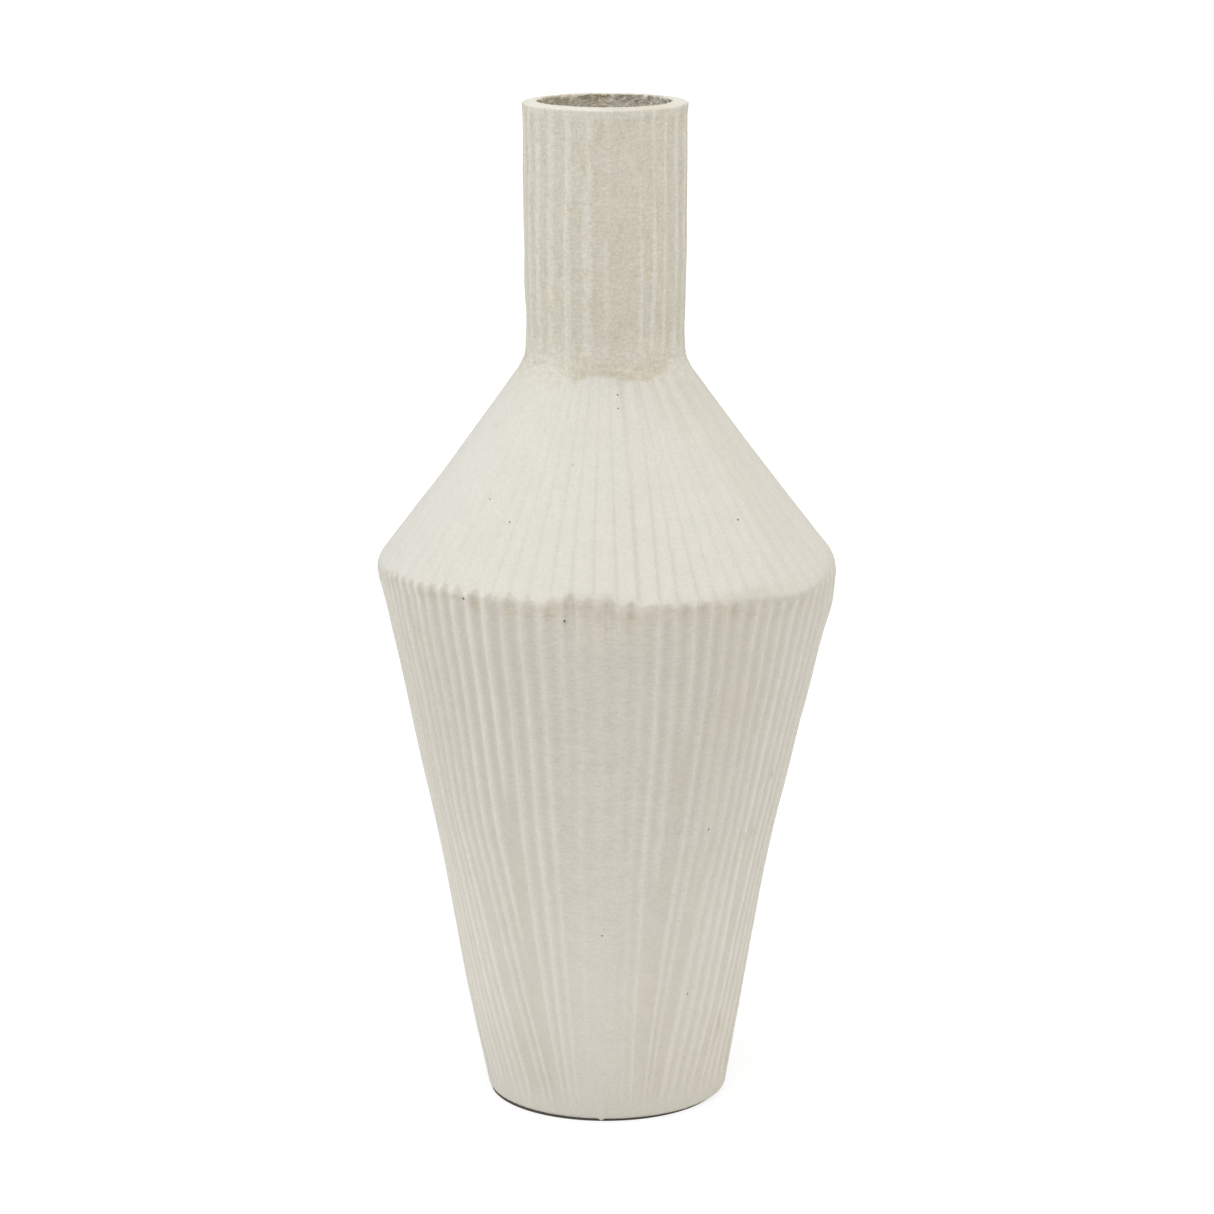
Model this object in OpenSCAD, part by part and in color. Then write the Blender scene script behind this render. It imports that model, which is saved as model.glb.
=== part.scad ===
// A hand-built bottle vase: a ribbed tube neck on a plain cone shoulder, and a long tapered body
// that comes to a sharp shoulder edge. Four clay sections are luted together over a thin pad.
// Origin: centre of the resting face. +Z is up the axis. Angles run from the front, which faces -Y.

/* [Overall] */
// Height from the resting face to the rim
vase_h = 300; // [285:1:320]
// Thickness of the clay wall, square to its face
wall_t = 5; // [4:0.1:5.6]

/* [Neck] */
// Length of the neck, from the foot of its curve to the rim
neck_h = 75.4; // [60:0.2:80]
// Outer radius at the rim
rim_r = 24.5; // [24:0.1:27]
// Outer radius at the foot of the neck
neck_r = 23.4; // [23:0.1:26]
// Radius of the mouth, the bore down the neck
mouth_r = 19.9; // [17:0.1:20.1]
// Swell of the neck's side between its ends
neck_swell = 0.35; // [0:0.05:0.8]
// Rounding of the rim's outer edge
lip_round = 1.2; // [0.8:0.1:1.5]
// Rounding of the rim's inner edge
mouth_round = 0.8; // [0.5:0.1:1]
// Radius of the curve from the neck into the shoulder
neck_fillet = 4.7; // [3:0.1:7]

/* [Shoulder] */
// Height of the sharp shoulder edge
shoulder_z = 164; // [150:1:170]
// Radius at the shoulder edge
shoulder_r = 68.4; // [62:0.2:72]
// Hollowing of the cone between its ends
shoulder_bow = 0.35; // [0:0.05:1]

/* [Body] */
// Radius that the wall runs to at the foot
base_r = 36; // [34:0.2:42]
// Rounding of the foot's edge
foot_round = 1.4; // [1:0.1:2]
// Hollowing of the wall between shoulder and foot
wall_bow = 1.2; // [0:0.1:2]
// Second curve of the wall, which fills it out at the foot and under the shoulder
wall_sway = 0.4; // [0:0.05:0.6]
// Thickness of the floor
floor_t = 6; // [5:0.1:8]
// Size of the coil of clay pressed into the corner between floor and wall
corner_coil = 4; // [2.5:0.1:6]
// Thickness of the soft pad under the foot
pad_t = 0.8; // [0.6:0.1:1.2]

/* [Ribs] */
// Ribs round the neck
neck_ribs = 27; // [22:1:28]
// Depth of the neck's grooves
neck_groove = 0.85; // [0.4:0.05:1]
// Bands round the shoulder
shoulder_ribs = 68; // [54:1:72]
// Depth of the cuts between the shoulder's bands
shoulder_groove = 0.4; // [0.2:0.05:0.5]
// Ribs round the body at the shoulder; one in four dies out on the way down
body_ribs = 80; // [56:4:80]
// Depth of the body's flutes
body_groove = 0.85; // [0.3:0.05:1]
// Height at which one rib in four starts to die out
merge_top = 122; // [105:1:135]
// Height at which it has died out
merge_low = 60; // [40:1:80]
// How far a rib may stray from its place, as a share of the spacing
stray = 0.1; // [0:0.05:0.25]
// How strongly the ribs crowd together and spread out by turns round a section
crowding = 1; // [0:0.1:1.2]
// How far the body's ribs gather towards front and back at the foot, in degrees
gather = 14; // [0:0.5:16]
// Height at which they start to gather, as a share of the shoulder's
gather_top = 0.58; // [0.4:0.02:0.8]

/* [Hidden] */
$fn = 96;

// The cone's lean from upright, and what a wall's thickness comes to when measured level
neck_z = vase_h - neck_h;
lean = atan((shoulder_r - neck_r) / (neck_z - shoulder_z));
shoulder_level = wall_t / cos(lean);
body_level = wall_t / cos(atan((shoulder_r - base_r) / shoulder_z));

// Luted seams: each upper section steps down inside the lower one by a lap
lap_h = 3;
lap_r = shoulder_r - wall_t / 2;
fillet_h = neck_fillet * tan(lean / 2);
neck_seam = neck_z + fillet_h;
spigot_t = 1.5;
spigot_r = mouth_r + spigot_t;
throat_gap = 0.5;
throat_r = mouth_r + throat_gap;
floor_r = base_r - wall_t / 2;
floor_top = pad_t + floor_t;
pad_r = base_r - foot_round + 0.2;

// Bands of facets up each section
body_bands = 8;
shoulder_bands = 4;
neck_bands = 6;
cavity_bands = 8;
round_steps = 3;
over = 1;

// One rib's outline across its width: place along it, then height from groove (0) to crest (1)
broad_ridge = [[0, 1], [0.13, 0.9], [0.3, 0.25], [0.5, 0], [0.7, 0.25], [0.87, 0.9]];
thin_ridge = [[0, 1], [0.2, 0.35], [0.5, 0], [0.8, 0.35]];
flat_band = [[0, 0], [0.16, 1], [0.84, 1]];

// Hand spacing of each section's ribs: the first rib's angle, then two waves of crowding, each
// with its times round, its reach in degrees and its phase
neck_spacing = [-0.4, [2, 2.9, -145], [3, 4.4, 76]];
shoulder_spacing = [1.9, [2, 1.3, -162], [5, 0.8, 41]];
body_spacing = [-1, [2, 4.4, -68], [3, 3.6, 81]];

// A value that runs from 0 to 1 as x runs from a to b
function ramp(x, a, b) = let (s = min(1, max(0, (x - a) / (b - a)))) s * s * (3 - 2 * s);

// A repeatable uneven value from -1 to 1 for rib k
function uneven(k, seed) = sin(47 * k * k + 113 * k + 71 * seed);

// The angle of rib k of count, crowded by its section's waves and strayed by hand
function wave(a, w) = w[1] * sin(w[0] * a + w[2]);
function rib_angle(k, count, seed, spacing) =
    let (even = 360 * k / count, waves = wave(even, spacing[1]) + wave(even, spacing[2]))
    spacing[0] + even + crowding * waves + stray * uneven(k % count, seed) * 360 / count;

// How tall rib k stands, as a share of its groove's depth
function rib_height(k, seed) = 0.85 + 0.15 * uneven(k, seed);

// Radius of each section's skin over its crests, at height z
function body_r(z) = let (s = z / shoulder_z) base_r + s * (shoulder_r - base_r)
    - wall_bow * sin(180 * s) + wall_sway * (sin(540 * s) + 0.4 * sin(360 * s));
function body_inner_r(z) = body_r(z) - body_level;
function cone_r(z) = let (s = (z - shoulder_z) / (neck_z - shoulder_z))
    shoulder_r + s * (neck_r - shoulder_r) - shoulder_bow * sin(180 * s);
function neck_skin_r(z) = let (s = (z - neck_seam) / (vase_h - neck_seam))
    neck_r + s * (rim_r - neck_r) + neck_swell * sin(180 * s);

// Rings of each skin from the bottom up, as [radius, height]
body_rings = [
    for (i = [0 : round_steps - 1]) let (a = 90 * i / round_steps)
        [body_r(foot_round) - foot_round * (1 - sin(a)), pad_t + foot_round * (1 - cos(a))],
    for (i = [0 : body_bands])
        let (low = pad_t + foot_round, z = low + i * (shoulder_z - low) / body_bands) [body_r(z), z],
];
fillet_low = neck_z - fillet_h * cos(lean);
shoulder_rings = [
    for (i = [0 : shoulder_bands])
        let (z = shoulder_z + i * (fillet_low - shoulder_z) / shoulder_bands) [cone_r(z), z],
    for (i = [1 : round_steps]) let (a = lean * (1 - i / round_steps))
        [neck_r + neck_fillet * (1 - cos(a)), neck_seam - neck_fillet * sin(a)],
];
lip_z = vase_h - lip_round;
neck_rings = [
    for (i = [0 : neck_bands])
        let (z = neck_seam + i * (lip_z - neck_seam) / neck_bands) [neck_skin_r(z), z],
    for (i = [1 : round_steps]) let (a = 90 * i / round_steps)
        [neck_skin_r(lip_z) - lip_round * (1 - cos(a)), lip_z + lip_round * sin(a)],
];

// Depth of each section's grooves at angle a and height z
function neck_depth(a, z) = neck_groove * (1 - 0.75 * ramp(z, lip_z - 4, lip_z + lip_round));
function shoulder_depth(a, z) =
    shoulder_groove * (1 - 0.9 * ramp(cone_r(z), neck_r + 22, neck_r + 2));
function body_depth(a, z) =
    let (faint = exp(-pow(sin(a) / 0.4, 2)), low = ramp(z, 0.95 * shoulder_z, 0.35 * shoulder_z))
    body_groove * (0.8 + 0.2 * ramp(z, 0.8 * shoulder_z, shoulder_z)) * (1 - 0.75 * faint * low)
        * (0.15 + 0.85 * ramp(z, 0.02 * shoulder_z, 0.2 * shoulder_z));

// The body's ribs at height z: they run straight down from the shoulder, then gather towards
// front and back. In each four the third dies out, and its neighbours close in a little.
function merged(z) = ramp(z, merge_top, merge_low);
function gathered(a, z) = let (low = max(0, 1 - z / (gather_top * shoulder_z)))
    gather * (sin(2 * a) - 0.3 * sin(4 * a)) * pow(low, 1.5);
function body_rib_angle(k, z) =
    let (a = rib_angle(k, body_ribs, 3, body_spacing), aside = [0, 1, 0, -1][k % 4])
    a + aside * merged(z) * 50 / body_ribs - gathered(a, z);
function body_rib_height(k, z) = rib_height(k, 4) * (k % 4 == 2 ? 1 - merged(z) : 1);

// A closed solid whose skin follows rings and is cut by grooves between ribs. Rib k's angle and
// height at a level, and the depth of the grooves there, come from functions. The skin runs past
// both end rings and is trimmed there, so that each end is one flat face.
module fluted_solid(rings, count, rib, angle, height, depth) {
    last = len(rings) - 1;
    skin = [
        2 * rings[0] - rings[1],
        for (i = [1 : last - 1]) rings[i],
        2 * rings[last] - rings[last - 1],
    ];
    points = [for (ring = skin) for (k = [0 : count - 1]) for (p = rib)
        let (z = ring[1], here = angle(k, z), next = angle(k + 1, z), a = here + p[0] * (next - here))
        let (owner = p[0] < 0.5 ? k : (k + 1) % count, crest = p[1] * height(owner, z))
        let (r = ring[0] - depth(a, z) * (1 - crest))
        [r * sin(a), -r * cos(a), z]];
    m = count * len(rib);
    top = last * m;
    faces = [
        [for (j = [0 : m - 1]) j],
        [for (j = [m - 1 : -1 : 0]) top + j],
        for (i = [0 : last - 1]) for (j = [0 : m - 1])
            let (a = i * m + j, b = i * m + (j + 1) % m) each [[a, a + m, b + m], [a, b + m, b]],
    ];
    intersection() {
        polyhedron(points, faces, convexity = 4);
        translate([0, 0, rings[0][1]])
            cylinder(h = rings[last][1] - rings[0][1], r = max([for (ring = skin) ring[0]]) + over);
    }
}

// The space inside a section, turned from its level cross-section
module hollow(outline) {
    rotate_extrude() polygon(outline);
}

// Soft pad under the foot
module base_pad() {
    color("dimgray") cylinder(h = pad_t, r = pad_r);
}

// Round floor, let into the foot of the wall from below
module floor_slab() {
    color("tan") translate([0, 0, pad_t]) cylinder(h = floor_t, r = floor_r);
}

// Tapered wall, with thin crests between hollow flutes, and the coil that holds it to the floor
module body_wall() {
    lap_z = shoulder_z - lap_h;
    coil_r = body_inner_r(floor_top);
    coil_bed = 0.4 * body_level;
    color("antiquewhite") union() {
        difference() {
            fluted_solid(body_rings, body_ribs, thin_ridge,
                function (k, z) body_rib_angle(k, z),
                function (k, z) body_rib_height(k, z),
                function (a, z) body_depth(a, z));
            hollow([
                [0, floor_top - over],
                [coil_r, floor_top - over],
                for (i = [0 : cavity_bands])
                    let (z = floor_top + i * (lap_z - floor_top) / cavity_bands) [body_inner_r(z), z],
                [body_inner_r(lap_z), lap_z + over],
                [0, lap_z + over],
            ]);
            translate([0, 0, lap_z]) cylinder(h = lap_h + over, r = lap_r);
            translate([0, 0, pad_t - over]) cylinder(h = floor_t + over, r = floor_r);
        }
        rotate_extrude() polygon([
            [coil_r - corner_coil, floor_top],
            [coil_r + coil_bed, floor_top],
            [coil_r + coil_bed, floor_top + corner_coil],
        ]);
    }
}

// Cone, with flat bands between narrow cuts, and a step that drops inside the body's rim
module shoulder() {
    lap_z = shoulder_z - lap_h;
    step_in = body_inner_r(lap_z);
    cone_in = shoulder_r - shoulder_level;
    run = (neck_z - shoulder_z) / (shoulder_r - neck_r);
    throat_z = shoulder_z + (cone_in - throat_r) * run;
    color("linen") difference() {
        union() {
            fluted_solid(shoulder_rings, shoulder_ribs, flat_band,
                function (k, z) rib_angle(k, shoulder_ribs, 5, shoulder_spacing),
                function (k, z) rib_height(k, 6),
                function (a, z) shoulder_depth(a, z));
            translate([0, 0, lap_z]) cylinder(h = lap_h + over, r = lap_r);
        }
        hollow([
            [0, lap_z - over],
            [step_in, lap_z - over],
            [step_in, lap_z],
            [cone_in, shoulder_z],
            [throat_r, throat_z],
            [throat_r, neck_seam + over],
            [0, neck_seam + over],
        ]);
        translate([0, 0, neck_seam - lap_h]) cylinder(h = lap_h + over, r = spigot_r);
    }
}

// Tube neck, with broad ridges, a rounded rim and a spigot that seats in the shoulder
module neck() {
    color("wheat") difference() {
        union() {
            fluted_solid(neck_rings, neck_ribs, broad_ridge,
                function (k, z) rib_angle(k, neck_ribs, 2, neck_spacing),
                function (k, z) rib_height(k, 3),
                function (a, z) neck_depth(a, z));
            translate([0, 0, neck_seam - lap_h]) cylinder(h = lap_h + over, r = spigot_r);
        }
        translate([0, 0, neck_seam - lap_h - over]) cylinder(h = neck_h + lap_h + 2 * over, r = mouth_r);
        translate([0, 0, vase_h]) mouth_edge();
    }
}

// What is cut away to round the rim's inner edge
module mouth_edge() {
    rotate_extrude() difference() {
        translate([mouth_r - over, -mouth_round]) square([mouth_round + over, mouth_round + over]);
        translate([mouth_r + mouth_round, -mouth_round]) circle(r = mouth_round);
    }
}

base_pad();
floor_slab();
body_wall();
shoulder();
neck();
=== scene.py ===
"""A hand-built ribbed bottle vase in matte cream earthenware: looks for the packed clay sections."""
import math

import bpy
import numpy as np
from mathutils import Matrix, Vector


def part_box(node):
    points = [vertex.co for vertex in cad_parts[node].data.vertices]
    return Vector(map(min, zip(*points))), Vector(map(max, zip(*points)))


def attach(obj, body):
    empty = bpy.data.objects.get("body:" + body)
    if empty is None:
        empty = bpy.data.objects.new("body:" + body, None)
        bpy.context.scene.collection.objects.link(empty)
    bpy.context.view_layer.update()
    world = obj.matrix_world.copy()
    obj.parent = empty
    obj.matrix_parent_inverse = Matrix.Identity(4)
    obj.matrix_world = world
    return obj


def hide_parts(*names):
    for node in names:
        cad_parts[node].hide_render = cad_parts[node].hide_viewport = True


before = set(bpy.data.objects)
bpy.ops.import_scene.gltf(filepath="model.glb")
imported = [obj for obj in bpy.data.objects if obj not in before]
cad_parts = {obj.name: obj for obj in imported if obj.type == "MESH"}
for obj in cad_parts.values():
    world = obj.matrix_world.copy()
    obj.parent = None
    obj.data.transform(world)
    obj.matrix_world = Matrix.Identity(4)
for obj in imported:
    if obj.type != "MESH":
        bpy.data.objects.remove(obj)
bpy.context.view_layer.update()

# Lengths are in millimetres until a mesh is made. Angles run from the front (-Y) towards +X.
MM = 0.001
TURN = 2 * math.pi


def height_of(node, end):
    """The lowest (0) or highest (1) level of a CAD node, in millimetres."""
    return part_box(node)[end][2] / MM


def radius_of(node):
    """Half the width of a CAD node, in millimetres."""
    low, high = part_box(node)
    return (high[0] - low[0]) / 2 / MM


FOOT_Z = height_of("body_wall", 0)
EDGE_Z = height_of("body_wall", 1)
SEAM_Z = height_of("shoulder", 1)
RIM_Z = height_of("neck", 1)
LAP_H = EDGE_Z - height_of("shoulder", 0)
FLOOR_Z = height_of("floor_slab", 1)
FLOOR_R = radius_of("floor_slab")

# The outline, as the sections have it: its corners, and how far it bends between them
BASE_R = 36.0
EDGE_R = 68.4
NECK_R = 23.4
NECK_Z = 224.6
RIM_R = 24.5
MOUTH_R = 19.9
WALL_BOW = 1.2
WALL_SWAY = 0.4
SHOULDER_BOW = 0.35
NECK_SWELL = 0.35
# How far the vase leans to +X, and how far the wall swells out: height, amount and reach of each
LEANS = [(0, 0.7, 22), (138, 0.85, 36), (190, 0.3, 20)]
SWELLS = [(150, 0.35, 26), (103, 0.75, 24)]
# Walls, laps and roundings
WALL_T = 5.0
SPIGOT_T = 1.5
THROAT_GAP = 0.5
COIL = 4.0
FOOT_ROUND = 1.4
LIP_ROUND = 1.0
LIP_CROWN = 0.35
MOUTH_ROUND = 0.8
# How deep the worn edge may bite into the wall, and how deep the lap lies that it must not reach
DEEPEST_BITE = 3.2
LAP_DEPTH = 4.4
# How far the skins are drawn in, to make up for their bumps
INSET = 0.15
# How deep the grooves between crests go
NECK_GROOVE = 0.95
SHOULDER_GROOVE = 0.30
BODY_GROOVE = 1.1
# Where the neck's own clay stops
NECK_FOOT_Z = 222.9

# How finely the skins are cut
STEPS_PER_BODY_RIB = 14
STEPS_PER_SHOULDER_RIB = 16
STEPS_PER_NECK_RIB = 30
BODY_STEP = 0.7
SHOULDER_STEP = 0.45
NECK_STEP = 0.45
EDGE_STEP = 0.25
BORE_STEP = 0.6
INSIDE_STEP = 6.0
# How far down the mouth's bore is finely cut
BORE_SHOWN = 24.0

# The rings on which each zone's noise is taken
WALL_NOISE_R = 68.0
NECK_NOISE_R = 30.0
NECK_FOOT_NOISE_R = 20.0


def ramp(x, a, b):
    """Runs smoothly from 0 to 1 as x runs from a to b."""
    s = np.clip((x - a) / (b - a), 0.0, 1.0)
    return s * s * (3 - 2 * s)


def near(x, centre, width):
    """A bell that is 1 at centre."""
    return np.exp(-(((x - centre) / width) ** 2))


def turned(phi, degrees):
    """How far phi is from an angle in degrees, the short way round, in degrees."""
    return (np.degrees(phi) - degrees + 180) % 360 - 180


def facing(phi, degrees, width):
    """A bell that is 1 where phi is at an angle in degrees."""
    return near(turned(phi, degrees), 0, width)


def around(phi, r):
    """Points at radius r, as x and y."""
    return r * np.sin(phi), -r * np.cos(phi)


def soft_min(a, b, width):
    """The smaller of a and b, blended where they differ by less than width."""
    h = np.maximum(width - np.abs(a - b), 0.0) / width
    return np.minimum(a, b) - h * h * width / 4


def soft_max(a, b, width):
    """The larger of a and b, blended where they differ by less than width."""
    return -soft_min(-a, -b, width)


NOISE_CELLS = 64
NOISE_TABLE = np.random.default_rng(11).uniform(-1, 1, 3 * (NOISE_CELLS,))


def lumps(x, y, z, size, seed):
    """Smooth noise from -1 to 1 with features of about size, at points in millimetres."""
    p = np.stack(np.broadcast_arrays(x / size + 17.3 * seed, y / size + 5.1 * seed, z / size + 9.7 * seed))
    base = np.floor(p).astype(int)
    f = p - base
    f = f * f * (3 - 2 * f)
    total = 0.0
    for corner in range(8):
        step = [(corner >> axis) & 1 for axis in range(3)]
        weight = 1.0
        for axis in range(3):
            weight = weight * (f[axis] if step[axis] else 1 - f[axis])
        at = [(base[axis] + step[axis]) % NOISE_CELLS for axis in range(3)]
        total = total + weight * NOISE_TABLE[at[0], at[1], at[2]]
    return total


# ---------------------------------------------------------------- ribs


class Ribs:
    """Crests round a section, spaced as a hand leaves them, with grooves between."""

    # The size of the noise that the crests wander by, and how far apart in it neighbours are
    WANDER_LENGTH = 26.0
    WANDER_SHARE = 0.65

    def __init__(self, count, start, waves, stray, wander, seed):
        """Waves crowd the crests together and apart: lobes, degrees, and where the wave starts."""
        rng = np.random.default_rng(seed)
        self.count = count
        self.seed = seed
        self.wander = math.radians(wander)
        self.even = TURN * np.arange(count) / count
        angle = self.even + math.radians(start)
        for lobes, amount, turn in waves:
            angle = angle + math.radians(amount) * np.sin(lobes * self.even + math.radians(turn))
        self.angle = angle + stray * TURN / count * rng.uniform(-1, 1, count)
        self.strength = rng.uniform(0.72, 1.0, count)
        self.sharpness = rng.uniform(0.0, 1.0, count)
        self.worn = rng.uniform(0.75, 1.0, count)

    def at(self, z):
        """The crests' angles at height z: each wanders a little, and takes its neighbours along."""
        ring = self.WANDER_SHARE * self.WANDER_LENGTH * self.count / TURN
        x, y = ring * np.cos(self.even), ring * np.sin(self.even)
        return self.angle + self.wander * lumps(x, y, z, self.WANDER_LENGTH, self.seed)

    def columns(self, z, steps):
        """Angles of a ring of columns, steps to a rib, closer together at the crests."""
        start = self.at(z)
        stop = np.append(start[1:], start[0] + TURN)
        share = np.arange(steps) / steps
        share = share - 0.5 * np.sin(TURN * share) / TURN
        return (start[:, None] + share * (stop - start)[:, None]).ravel()

    def nearest(self, phi, z):
        """For each angle, the nearest rib, and how far off it is as a share of the spacing."""
        crest = self.at(z)
        past = (phi - crest[0]) % TURN
        edges = np.append(crest - crest[0], TURN)
        k = np.clip(np.searchsorted(edges, past, side="right") - 1, 0, self.count - 1)
        share = (past - edges[k]) / (edges[k + 1] - edges[k])
        return np.where(share < 0.5, k, (k + 1) % self.count), np.minimum(share, 1 - share)


class BodyRibs(Ribs):
    """The body's ribs gather towards front and back at the foot, and one in four dies out."""

    GATHER = 14.0
    GATHER_TOP = 0.58 * EDGE_Z
    # How far a dying rib's neighbours close in on it, in degrees, shared out over all the ribs
    CLOSE_IN = 50.0
    # Where ribs slip sideways near the foot: angle, degrees and width
    SLIPS = [(-46, 3.3, 12), (33, -3.5, 10), (53, 3.7, 9)]
    # Ribs that die out on the front, counted from the middle, and the height where they do
    DYING = {-10: 70, -7: 55, -6: 102, -2: 108, 4: 76, 5: 120, 8: 75, 13: 75}
    FRONT = 16
    # The height for a rib that doesn't die out, well below the foot
    NEVER = -100.0

    def __init__(self, **settings):
        super().__init__(**settings)
        k = np.arange(self.count)
        rng = np.random.default_rng(self.seed + 1)
        self.dies_at = np.where(k % 4 == 2, rng.uniform(60, 115, self.count), self.NEVER)
        self.dies_at[: self.FRONT] = self.NEVER
        self.dies_at[-self.FRONT:] = self.NEVER
        for rib, height in self.DYING.items():
            self.dies_at[rib] = height

    def at(self, z):
        low = max(0.0, 1 - z / self.GATHER_TOP) ** 1.5
        gather = np.sin(2 * self.angle) - 0.3 * np.sin(4 * self.angle)
        drift = math.radians(self.GATHER) * gather * low
        slip = sum(amount * facing(self.angle, angle, width) for angle, amount, width in self.SLIPS)
        slip = np.radians(slip) * ramp(z, 100, 20)
        dead = ramp(z, self.dies_at + 12, self.dies_at - 25)
        pull = math.radians(self.CLOSE_IN / self.count)
        return super().at(z) - drift + slip + pull * (np.roll(dead, -1) - np.roll(dead, 1))

    def height(self, z):
        """How tall each crest stands at height z."""
        return self.strength * (1 - ramp(z, self.dies_at + 18, self.dies_at - 12))


neck_ribs = Ribs(
    count=27, start=-0.4, waves=[(2, 2.85, -145), (3, 4.43, 76)], stray=0.05, wander=2.0, seed=3
)
shoulder_ribs = Ribs(
    count=68, start=1.9, waves=[(2, 1.3, -162), (5, 0.8, 41)], stray=0.06, wander=0.5, seed=4
)
body_ribs = BodyRibs(
    count=80, start=-1.0, waves=[(2, 4.4, -68), (3, 3.6, 81)], stray=0.08, wander=0.45, seed=5
)


def wave(gap):
    """1 on a crest, and 0 halfway to the next one."""
    return 0.5 + 0.5 * np.cos(TURN * gap)


def neck_relief(phi, z):
    """How far the neck's skin lies under its crests, and how hollow it is, from 0 to 1."""
    owner, gap = neck_ribs.nearest(phi, z)
    sharp = (1.2 + 2.0 * neck_ribs.sharpness[owner]) * (1 - 0.5 * facing(phi, -4, 36))
    weak = 1 - 0.55 * facing(phi, 14, 14) - 0.25 * facing(phi, 0, 45)
    x, y = around(phi, NECK_NOISE_R)
    along = 0.72 + 0.28 * lumps(1.6 * x, 1.6 * y, 0.7 * z, 11, seed=25)
    crest = wave(gap) ** sharp * neck_ribs.strength[owner] * weak * along
    sway = 0.8 + 0.25 * lumps(x, y, z, 16, seed=2)
    fade = 1 - 0.6 * ramp(z, RIM_Z - 5, RIM_Z - LIP_ROUND)
    fade = fade * (1 - 0.65 * ramp(z, NECK_Z + 11, NECK_Z))
    return NECK_GROOVE * sway * fade * (weak - crest), fade * ramp(crest, 0.62, 0.04)


def shoulder_cuts(phi, z):
    """How near each angle is to one of the cone's cuts, and how far off it is in its band."""
    slant = math.radians(3.8) * (z - EDGE_Z) / 36 * facing(phi, 17, 9)
    owner, gap = shoulder_ribs.nearest(phi - slant, z)
    wide = 0.09 + 0.06 * shoulder_ribs.sharpness[owner]
    return near(gap, 0, wide) * shoulder_ribs.strength[owner], gap


def shoulder_relief(phi, z):
    """The same for the cone: flat bands with narrow cuts between them, fainter on the way up."""
    cut, gap = shoulder_cuts(phi, z)
    plain = facing(phi, 2, 38)
    deep = facing(phi, 13, 8) * ramp(z, 206, 186)
    up = 1 - (0.6 - 0.3 * plain) * ramp(z, 172, 214)
    amount = (0.13 + 0.20 * plain + 0.20 * deep) * up
    x, y = around(phi, WALL_NOISE_R)
    streaks = 0.14 * lumps(x, y, 0.15 * z, 2.6, seed=12) + 0.20 * lumps(x, y, 0.15 * z, 6, seed=13)
    streaks = streaks * (1 - 0.6 * ramp(z, 200, 218) * ramp(turned(phi, 0), 25, 5))
    # The neck's grooves run out over the top of the cone
    x, y = around(phi, NECK_FOOT_NOISE_R)
    foot = 1 - wave(neck_ribs.nearest(phi, NECK_Z)[1])
    foot = foot * ramp(z, 200, 222) * (0.5 + 0.5 * lumps(x, y, 0.2 * z, 7, seed=21))
    foot = foot * (0.35 + 1.1 * facing(phi, 28, 26))
    relief = amount * (1.7 * cut + 0.5 * wave(gap)) + streaks + 1.1 * foot
    tone = amount * (1.3 * cut + 0.4 * wave(gap)) + 0.5 * streaks + 0.7 * foot
    # Painted shade: the cone is darker round its right side, and low on its left side
    tone = tone + 0.34 * facing(phi, 62, 28) + 0.2 * facing(phi, -62, 24) * ramp(z, 200, 175)
    return SHOULDER_GROOVE * relief, 0.15 + 0.8 * np.clip(tone, 0, 1)


def body_relief(phi, z):
    """The same for the wall, and how far it is a crest: thin crests and hollow flutes."""
    owner, gap = body_ribs.nearest(phi, z)
    height = body_ribs.height(z)[owner]
    # The ribs are softer round the front and back, towards the foot, and a little on the right
    middle = facing(phi, -2, 17) + facing(phi, 178, 17)
    right = facing(phi, 42, 36)
    soft = ramp(z, 130, 60)
    low = ramp(z, 0.62 * EDGE_Z, 0.35 * EDGE_Z)
    full = wave(gap)
    thin = (1 - 2 * gap) ** ((1.9 + body_ribs.sharpness[owner]) * (1 - 0.42 * soft))
    crest = height * (thin + middle * (full - thin))
    x, y = around(phi, WALL_NOISE_R)
    sway = 0.85 + 0.15 * lumps(x, y, 0.3 * z, 7, seed=9)
    chips = ramp(z, EDGE_Z - 9, EDGE_Z) * (0.62 - 0.35 * lumps(x, y, z, 6, seed=18))
    fade = sway * (1 - middle * (0.66 + 0.14 * low)) * (0.1 + 0.9 * ramp(z, 0, 12))
    fade = fade * (1 - chips) * (1 - 0.15 * soft) * (1 - 0.24 * right)
    # Their colour fades less than their depth, and round the sides painted light pales the crests and
    # lightens the grooves, more on the right
    side = ramp(np.abs(np.sin(phi)), 0.55, 0.92) * (0.78 + 0.22 * np.sin(phi))
    side = side * (0.3 + 0.7 * ramp(z, 80, 135))
    shown = (1 - middle * (0.66 + 0.12 * low)) * (0.3 + 0.7 * ramp(z, 0, 12)) * (1 - 0.1 * soft)
    shown = shown * (1 - 0.3 * right) * (1 - 0.16 * soft * facing(phi, -52, 30))
    worn = body_ribs.worn[owner] * (0.9 + 0.2 * lumps(x, y, 0.35 * z, 14, seed=30))
    hollow = shown * (1 - full * np.clip(1.3 * height, 0, 1)) * (1 - 0.6 * side)
    return BODY_GROOVE * fade * (1 - crest), hollow, np.clip(shown * crest * worn + 0.26 * side, 0, 1)


# ---------------------------------------------------------------- the edge between wall and cone

# Spurs and nicks along its front: angle and height
EDGE_SPURS = [
    (-9.3, 2.2), (-4.5, 1.1), (0.2, 1.8), (2.6, -1.0), (6.0, 1.7), (12.4, 0.9), (-29.0, -1.2)
]
SPUR_WIDTH = 0.85
# Where it has been worn upwards or downwards: angle, height and width
EDGE_WEAR = [(-38, 2.8, 34), (-82, -0.9, 13), (53.5, -3.2, 10), (37, -0.7, 8), (20, 1.0, 9)]
# Where it has been rubbed round: angle, how much and width
EDGE_RUBS = [(84, 2.4, 17), (-84, 1.4, 14), (-4, 2.0, 10)]


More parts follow.
